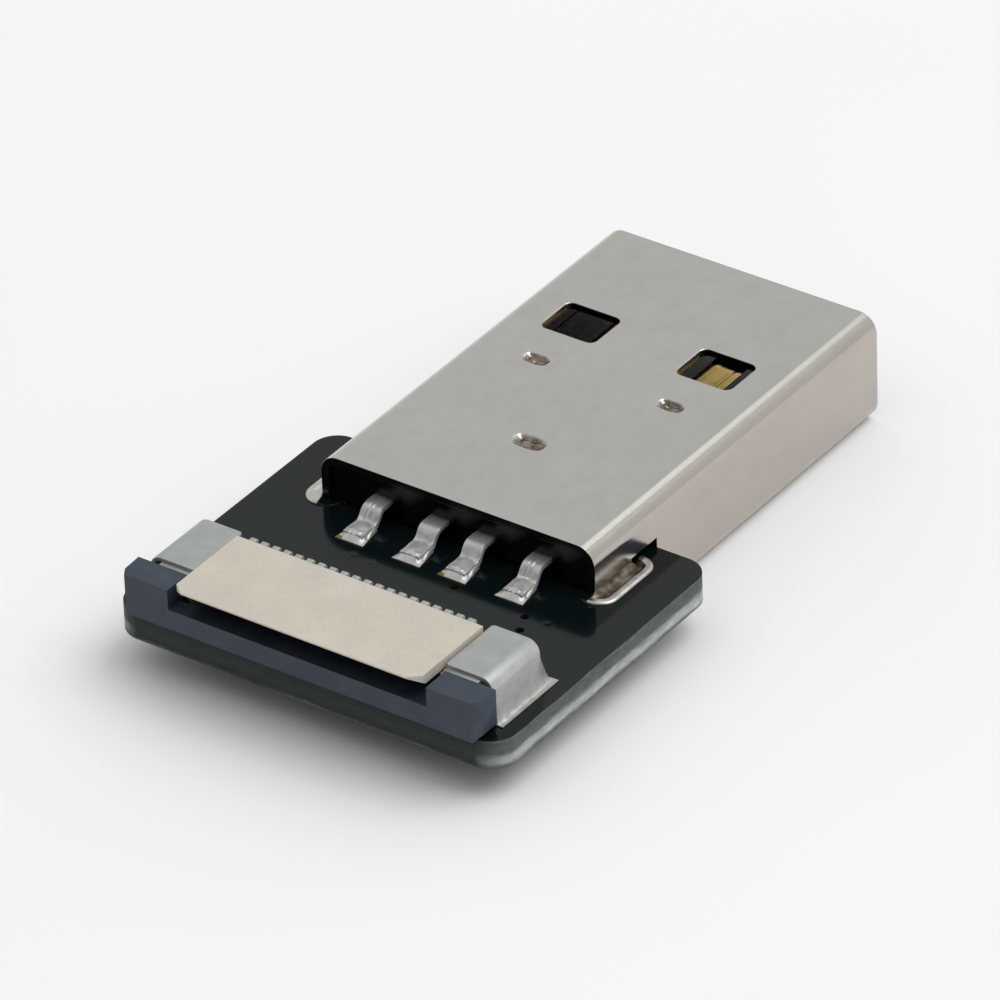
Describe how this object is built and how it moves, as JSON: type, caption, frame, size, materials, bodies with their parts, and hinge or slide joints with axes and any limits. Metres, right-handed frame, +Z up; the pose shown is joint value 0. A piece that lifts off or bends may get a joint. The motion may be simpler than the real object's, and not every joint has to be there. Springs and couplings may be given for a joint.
{
  "type": "usb-a plug on a ribbon-cable adapter board",
  "caption": "Standard-A data plug sunk into a small black circuit board, with a slider-locked ribbon-cable connector at the other end.",
  "frame": {"origin": "centre of the bounding box's underside: on the plane the shell's bottom plate lies on, halfway between the plug's mouth and the ribbon connector's front edge", "axes": "+Y out of the plug's mouth along the insertion direction, +Z up on the side with the wiring and the ribbon connector, +X across the plug to the right-hand side seen from the ribbon connector's end"},
  "size_m": [0.0168, 0.0284, 0.0045],
  "materials": {
    "solder_mask": "glossy black solder mask over glass-fibre laminate",
    "gold_plate": "thin gold plating, satin",
    "nickel_shell": "satin nickel plating on folded steel sheet",
    "black_resin": "black glass-filled resin, moulded",
    "solder": "reflowed tin solder, bright and slightly lumpy",
    "cream_resin": "natural liquid-crystal polymer, cream",
    "slate_resin": "dark blue-grey resin",
    "tin_plate": "matt tin plating on phosphor bronze"
  },
  "bodies": {
    "board": {"circuit_board": "solder_mask", "copper_pads": "gold_plate", "plug_shell": "nickel_shell", "plug_insulator": "black_resin", "supply_contact": "gold_plate", "data_contact_minus": "gold_plate", "data_contact_plus": "gold_plate", "ground_contact": "gold_plate", "lead_solder_1": "solder", "lead_solder_2": "solder", "lead_solder_3": "solder", "lead_solder_4": "solder", "tab_solder_left": "solder", "tab_solder_right": "solder", "ribbon_housing": "cream_resin", "ribbon_contacts": "tin_plate", "ribbon_solder": "solder", "fitting_nail_left": "tin_plate", "fitting_nail_right": "tin_plate", "nail_solder_left": "solder", "nail_solder_right": "solder"},
    "slider": {"ribbon_slider": "slate_resin"}
  },
  "joints": [
    {"name": "slider_slide", "type": "slide", "parent": "board", "child": "slider", "axis": [0, -1, 0], "range_m": [0, 0.0011]}
  ]
}
